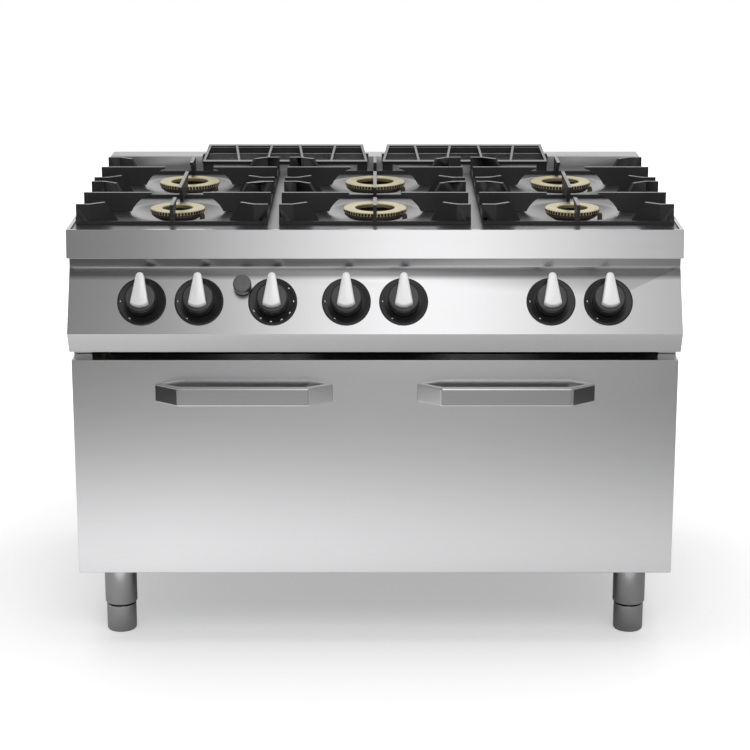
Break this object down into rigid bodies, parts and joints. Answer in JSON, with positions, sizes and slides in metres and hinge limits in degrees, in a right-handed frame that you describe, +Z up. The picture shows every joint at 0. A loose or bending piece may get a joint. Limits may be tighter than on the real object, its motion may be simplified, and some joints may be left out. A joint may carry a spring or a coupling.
{
  "type": "commercial gas range",
  "caption": "Free-standing stainless commercial gas range: open burners with cast pan supports above, sloping knob panel, wide drop-down oven door and levelling legs.",
  "frame": {"origin": "on the floor, under the middle of the whole range's box", "axes": "+Z up, -Y towards the cook, +X to the cook's right"},
  "size_m": [1.2, 0.7926, 0.919],
  "materials": {
    "brushed_panel": "satin brushed stainless steel",
    "galvanised": "dull galvanised steel",
    "polished_steel": "fine brushed stainless steel, nearly mirror on the deck and legs",
    "cavity_steel": "plain stainless oven liner",
    "chrome_wire": "bright chrome wire",
    "cast_iron": "black enamelled cast iron",
    "burner_iron": "dark brown cast burner body",
    "brass": "pale machined brass",
    "black_plastic": "glossy black moulding",
    "grey_plastic": "dark grey moulding",
    "mineral_wool": "pressed mineral wool",
    "seal": "black woven oven seal"
  },
  "bodies": {
    "root": {"left_side_panel": "brushed_panel", "right_side_panel": "brushed_panel", "front_frame": "brushed_panel", "base_frame": "brushed_panel", "rear_riser": "brushed_panel", "back_panel": "galvanised", "oven_flue_duct": "galvanised", "oven_burner": "galvanised", "gas_manifold": "galvanised", "gas_inlet": "galvanised", "burner_venturis": "galvanised", "hinge_brackets": "galvanised", "worktop": "polished_steel", "control_panel": "polished_steel", "drip_bowls": "polished_steel", "leg_tubes": "polished_steel", "panel_screws": "polished_steel", "oven_cavity": "cavity_steel", "rack_runners": "chrome_wire", "oven_floor_plate": "cast_iron", "burner_bodies": "burner_iron", "burner_rings": "brass", "pilot_burners": "brass", "gas_valves": "brass", "supply_pipes": "brass", "knob_dials": "black_plastic", "igniter_body": "black_plastic", "oven_insulation": "mineral_wool"},
    "door": {"door_hinge_arms": "galvanised", "door_outer_skin": "polished_steel", "door_handle_left": "polished_steel", "door_handle_right": "polished_steel", "door_inner_panel": "cavity_steel", "door_insulation": "mineral_wool", "door_gasket": "seal"},
    "oven_rack": {"oven_rack": "chrome_wire"},
    "spindle_1": {"valve_spindle_1": "chrome_wire"},
    "knob_1": {"knob_1": "black_plastic"},
    "spindle_2": {"valve_spindle_2": "chrome_wire"},
    "knob_2": {"knob_2": "black_plastic"},
    "spindle_3": {"valve_spindle_3": "chrome_wire"},
    "knob_3": {"knob_3": "black_plastic"},
    "spindle_4": {"valve_spindle_4": "chrome_wire"},
    "knob_4": {"knob_4": "black_plastic"},
    "spindle_5": {"valve_spindle_5": "chrome_wire"},
    "knob_5": {"knob_5": "black_plastic"},
    "spindle_6": {"valve_spindle_6": "chrome_wire"},
    "knob_6": {"knob_6": "black_plastic"},
    "spindle_7": {"valve_spindle_7": "chrome_wire"},
    "knob_7": {"knob_7": "black_plastic"},
    "igniter_button": {"igniter_button": "grey_plastic"},
    "pan_support_left": {"pan_support_left": "cast_iron"},
    "pan_support_middle": {"pan_support_middle": "cast_iron"},
    "pan_support_right": {"pan_support_right": "cast_iron"},
    "flue_cap_left": {"flue_cap_left": "cast_iron"},
    "flue_cap_right": {"flue_cap_right": "cast_iron"},
    "foot_front_left": {"foot_front_left": "polished_steel"},
    "foot_front_right": {"foot_front_right": "polished_steel"},
    "foot_rear_left": {"foot_rear_left": "polished_steel"},
    "foot_rear_right": {"foot_rear_right": "polished_steel"}
  },
  "joints": [
    {"name": "door_hinge", "type": "hinge", "parent": "root", "child": "door", "pos_m": [0, -0.30665, 0.168], "axis": [1, 0, 0], "range_deg": [0, 90], "stiffness_Nm_per_rad": 12, "springref_deg": -40.11},
    {"name": "rack_slide", "type": "slide", "parent": "root", "child": "oven_rack", "axis": [0, -1, 0], "range_m": [0, 0.25]},
    {"name": "knob_1_turn", "type": "hinge", "parent": "root", "child": "spindle_1", "pos_m": [-0.456, -0.34208, 0.727], "axis": [0, -0.8682, 0.4961], "range_deg": [0, 147]},
    {"name": "knob_1_push", "type": "slide", "parent": "spindle_1", "child": "knob_1", "axis": [0, 0.8682, -0.4961], "range_m": [0, 0.004], "stiffness_N_per_m": 800, "springref_m": -0.004},
    {"name": "knob_2_turn", "type": "hinge", "parent": "root", "child": "spindle_2", "pos_m": [-0.344, -0.34208, 0.727], "axis": [0, -0.8682, 0.4961], "range_deg": [0, 147]},
    {"name": "knob_2_push", "type": "slide", "parent": "spindle_2", "child": "knob_2", "axis": [0, 0.8682, -0.4961], "range_m": [0, 0.004], "stiffness_N_per_m": 800, "springref_m": -0.004},
    {"name": "knob_3_turn", "type": "hinge", "parent": "root", "child": "spindle_3", "pos_m": [-0.2, -0.34208, 0.727], "axis": [0, -0.8682, 0.4961], "range_deg": [0, 310]},
    {"name": "knob_3_push", "type": "slide", "parent": "spindle_3", "child": "knob_3", "axis": [0, 0.8682, -0.4961], "range_m": [0, 0.004], "stiffness_N_per_m": 800, "springref_m": -0.004},
    {"name": "knob_4_turn", "type": "hinge", "parent": "root", "child": "spindle_4", "pos_m": [-0.056, -0.34208, 0.727], "axis": [0, -0.8682, 0.4961], "range_deg": [0, 147]},
    {"name": "knob_4_push", "type": "slide", "parent": "spindle_4", "child": "knob_4", "axis": [0, 0.8682, -0.4961], "range_m": [0, 0.004], "stiffness_N_per_m": 800, "springref_m": -0.004},
    {"name": "knob_5_turn", "type": "hinge", "parent": "root", "child": "spindle_5", "pos_m": [0.056, -0.34208, 0.727], "axis": [0, -0.8682, 0.4961], "range_deg": [0, 147]},
    {"name": "knob_5_push", "type": "slide", "parent": "spindle_5", "child": "knob_5", "axis": [0, 0.8682, -0.4961], "range_m": [0, 0.004], "stiffness_N_per_m": 800, "springref_m": -0.004},
    {"name": "knob_6_turn", "type": "hinge", "parent": "root", "child": "spindle_6", "pos_m": [0.344, -0.34208, 0.727], "axis": [0, -0.8682, 0.4961], "range_deg": [0, 147]},
    {"name": "knob_6_push", "type": "slide", "parent": "spindle_6", "child": "knob_6", "axis": [0, 0.8682, -0.4961], "range_m": [0, 0.004], "stiffness_N_per_m": 800, "springref_m": -0.004},
    {"name": "knob_7_turn", "type": "hinge", "parent": "root", "child": "spindle_7", "pos_m": [0.456, -0.34208, 0.727], "axis": [0, -0.8682, 0.4961], "range_deg": [0, 147]},
    {"name": "knob_7_push", "type": "slide", "parent": "spindle_7", "child": "knob_7", "axis": [0, 0.8682, -0.4961], "range_m": [0, 0.004], "stiffness_N_per_m": 800, "springref_m": -0.004},
    {"name": "igniter_push", "type": "slide", "parent": "root", "child": "igniter_button", "axis": [0, 0.8682, -0.4961], "range_m": [0, 0.005], "stiffness_N_per_m": 800, "springref_m": -0.004},
    {"name": "pan_support_left_lift", "type": "slide", "parent": "root", "child": "pan_support_left", "axis": [0, 0, 1], "range_m": [0, 0.15]},
    {"name": "pan_support_middle_lift", "type": "slide", "parent": "root", "child": "pan_support_middle", "axis": [0, 0, 1], "range_m": [0, 0.15]},
    {"name": "pan_support_right_lift", "type": "slide", "parent": "root", "child": "pan_support_right", "axis": [0, 0, 1], "range_m": [0, 0.15]},
    {"name": "flue_cap_left_lift", "type": "slide", "parent": "root", "child": "flue_cap_left", "axis": [0, 0, 1], "range_m": [0, 0.06]},
    {"name": "flue_cap_right_lift", "type": "slide", "parent": "root", "child": "flue_cap_right", "axis": [0, 0, 1], "range_m": [0, 0.06]},
    {"name": "foot_front_left_height", "type": "slide", "parent": "root", "child": "foot_front_left", "axis": [0, 0, -1], "range_m": [0, 0.03]},
    {"name": "foot_front_right_height", "type": "slide", "parent": "root", "child": "foot_front_right", "axis": [0, 0, -1], "range_m": [0, 0.03]},
    {"name": "foot_rear_left_height", "type": "slide", "parent": "root", "child": "foot_rear_left", "axis": [0, 0, -1], "range_m": [0, 0.03]},
    {"name": "foot_rear_right_height", "type": "slide", "parent": "root", "child": "foot_rear_right", "axis": [0, 0, -1], "range_m": [0, 0.03]}
  ],
  "couplings": [
    {"joint": "rack_slide", "follows": "door_hinge", "m_per_rad": 0.159}
  ]
}
